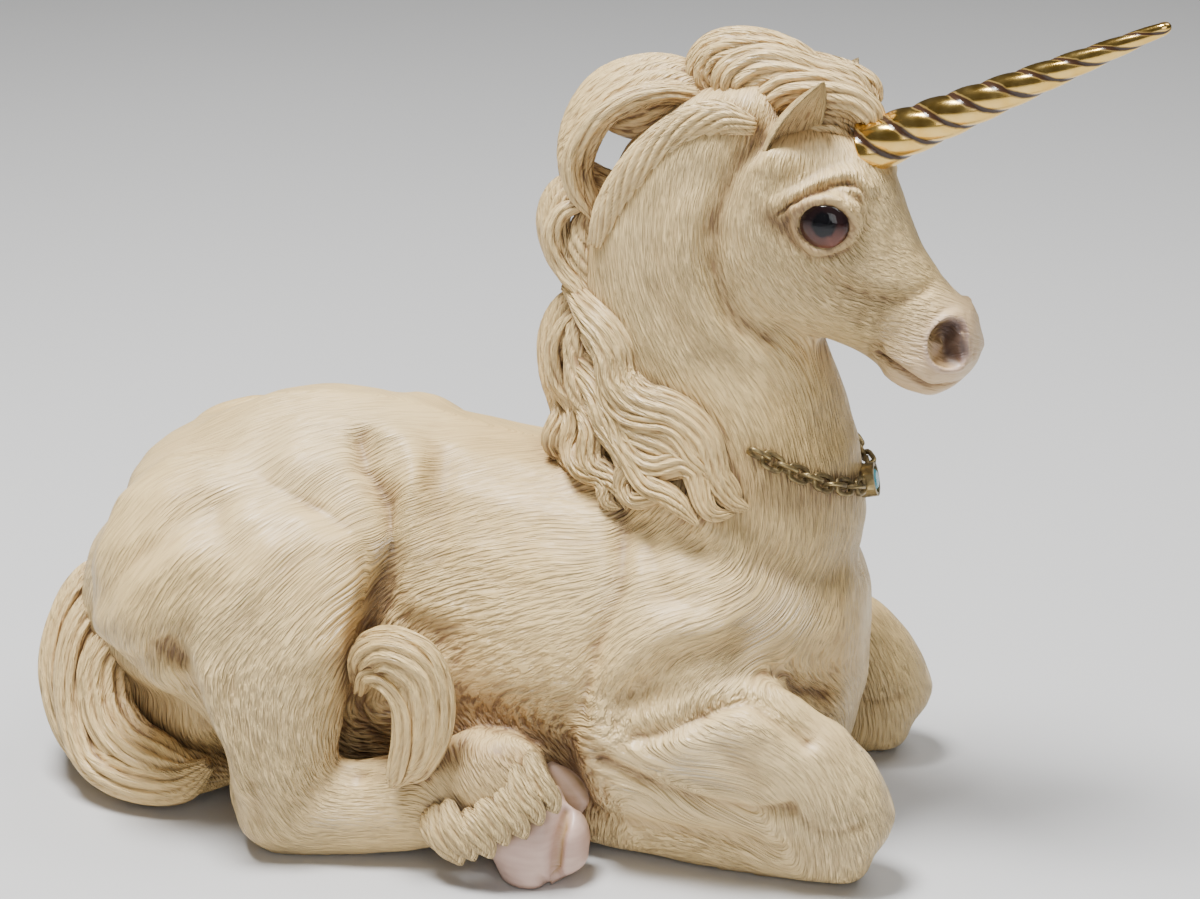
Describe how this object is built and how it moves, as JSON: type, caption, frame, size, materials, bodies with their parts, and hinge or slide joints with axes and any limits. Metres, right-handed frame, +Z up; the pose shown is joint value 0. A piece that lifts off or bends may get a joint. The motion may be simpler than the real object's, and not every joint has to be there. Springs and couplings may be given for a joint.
{
  "type": "unicorn figurine",
  "caption": "Reclining unicorn ornament with a spiral horn, domed eyes, wavy mane and a chain with a set stone round its neck; rests on its flat underside.",
  "frame": {"origin": "on the flat underside of the trunk, on the animal's middle plane", "axes": "+X the way the animal looks, +Y to its left, +Z up"},
  "size_m": [0.3173, 0.138, 0.2365],
  "materials": {
    "cast_ivory": "hand-painted cast resin, satin ivory with a brown wash in the engraved hair",
    "cast_hair": "hand-painted cast resin, satin cream with a brown wash between the strands",
    "cast_hoof": "hand-painted cast resin, satin greyish pink",
    "gilded_horn": "cast resin in metallic gold paint, dark in the grooves",
    "eye_glass": "clear polished dome",
    "eye_paint": "glossy dark brown iris with a black pupil",
    "chain_brass": "antiqued brass",
    "setting_brass": "antiqued brass",
    "stone_glass": "faceted aqua glass"
  },
  "bodies": {
    "root": {"trunk": "cast_ivory", "neck": "cast_ivory", "head": "cast_ivory", "right_ear": "cast_ivory", "left_ear": "cast_ivory", "right_haunch": "cast_ivory", "left_haunch": "cast_ivory", "right_hind_shank": "cast_ivory", "left_hind_shank": "cast_ivory", "right_forearm": "cast_ivory", "left_forearm": "cast_ivory", "right_fore_shank": "cast_ivory", "left_fore_shank": "cast_ivory", "tail": "cast_hair", "tail_switch": "cast_hair", "forelock": "cast_hair", "mane_loop": "cast_hair", "mane_upper_curl": "cast_hair", "mane_lower_curl": "cast_hair", "mane_fall_front": "cast_hair", "mane_fall_middle": "cast_hair", "mane_fall_rear": "cast_hair", "right_hind_hoof": "cast_hoof", "left_hind_hoof": "cast_hoof", "right_fore_hoof": "cast_hoof", "left_fore_hoof": "cast_hoof", "horn": "gilded_horn", "right_eye_glass": "eye_glass", "left_eye_glass": "eye_glass", "right_eye_iris": "eye_paint", "left_eye_iris": "eye_paint", "chain_even_links": "chain_brass", "chain_odd_links": "chain_brass", "stone_setting": "setting_brass", "stone": "stone_glass"}
  },
  "joints": []
}
